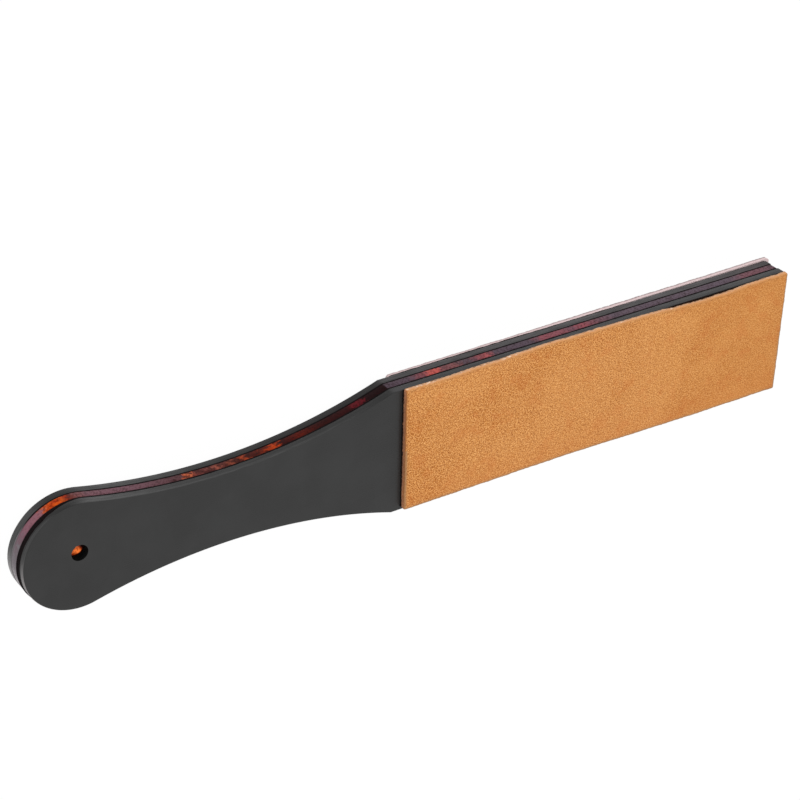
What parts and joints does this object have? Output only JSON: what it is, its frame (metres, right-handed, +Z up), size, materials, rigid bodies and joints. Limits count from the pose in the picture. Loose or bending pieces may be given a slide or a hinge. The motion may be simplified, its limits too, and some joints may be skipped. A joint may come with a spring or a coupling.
{
  "type": "leather strop",
  "caption": "Double-sided paddle strop: suede leather pads on a laminated acrylic board with a waisted handle and a hanging hole, for honing knife edges by hand.",
  "frame": {"origin": "middle of the footprint, on the surface that the back leather rests on", "axes": "+X along the board from the handle's round end to the square end of the blade, +Y across the board, +Z up out of the front leather"},
  "size_m": [0.3258, 0.0521, 0.0155],
  "materials": {
    "tan_suede": "napped suede",
    "pale_suede": "napped suede",
    "charcoal_acrylic": "satin",
    "tortoiseshell_acrylic": "polished, mottled amber to plum",
    "black_glue": "matte",
    "black_adhesive": "matte"
  },
  "bodies": {
    "root": {"front_leather": "tan_suede", "front_leather_adhesive": "black_adhesive", "front_scale": "charcoal_acrylic", "front_glue_line": "black_glue", "core": "tortoiseshell_acrylic", "back_glue_line": "black_glue", "back_scale": "charcoal_acrylic", "back_leather_adhesive": "black_adhesive", "back_leather": "pale_suede"}
  },
  "joints": []
}
